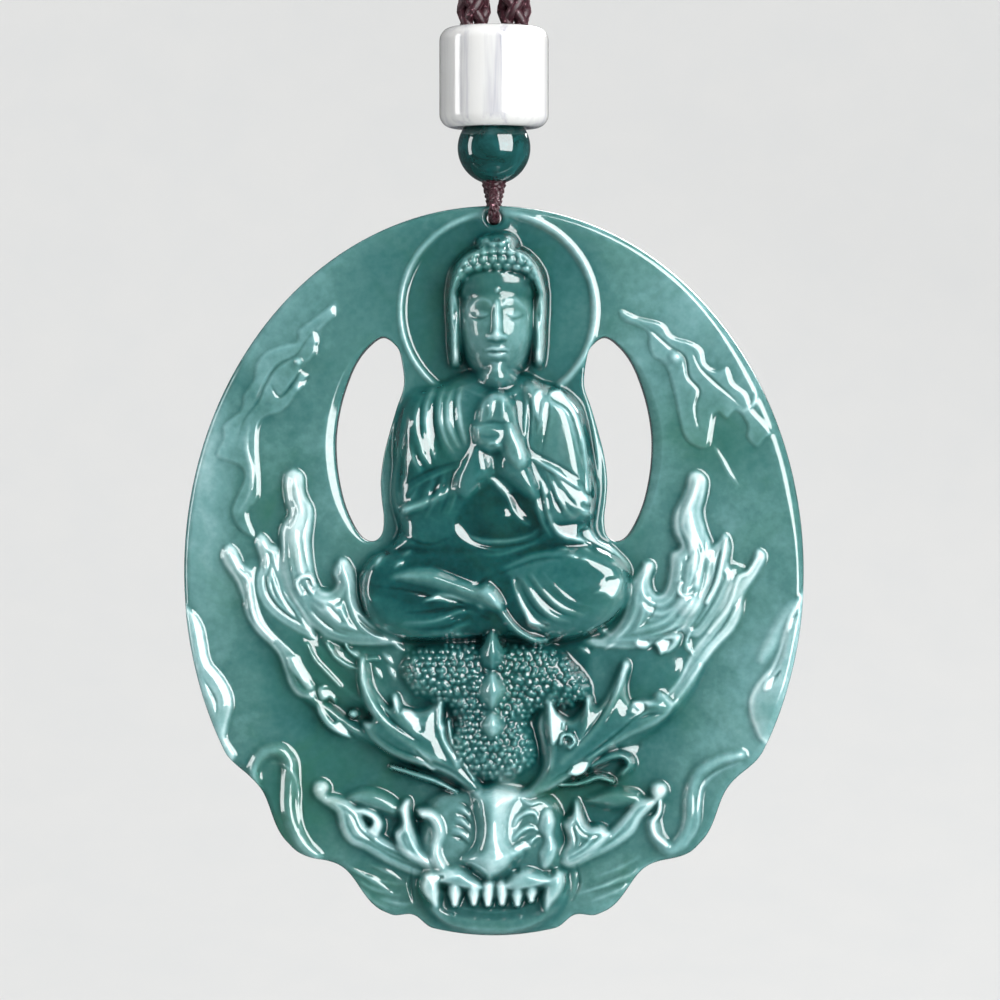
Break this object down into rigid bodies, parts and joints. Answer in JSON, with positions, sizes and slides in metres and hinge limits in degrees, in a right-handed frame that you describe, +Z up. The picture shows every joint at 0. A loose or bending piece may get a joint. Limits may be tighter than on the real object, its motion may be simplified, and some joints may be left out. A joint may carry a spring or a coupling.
{
  "type": "jade buddha pendant",
  "caption": "Pierced oval jade plate carved with a seated figure, hung by a thin cord below two beads on a braided neck loop.",
  "frame": {"origin": "inner top of the neck loop, where the cord lies on a neck", "axes": "+Z up, the pendant hangs towards -Z; the carved front faces -Y; +X to the right as the front is seen"},
  "size_m": [0.1222, 0.0123, 0.3671],
  "materials": {
    "jade": "polished",
    "white_agate": "polished",
    "dark_jade": "polished",
    "cord": "braided"
  },
  "bodies": {
    "necklace": {"neck_cord": "cord", "barrel_bead": "white_agate", "round_bead": "dark_jade", "bail_cord": "cord"},
    "pendant": {"jade_pendant": "jade"}
  },
  "joints": [
    {"name": "pendant_swing", "type": "hinge", "parent": "necklace", "child": "pendant", "pos_m": [0, 0, -0.30392], "axis": [0, 1, 0], "range_deg": [-25, 25]}
  ]
}
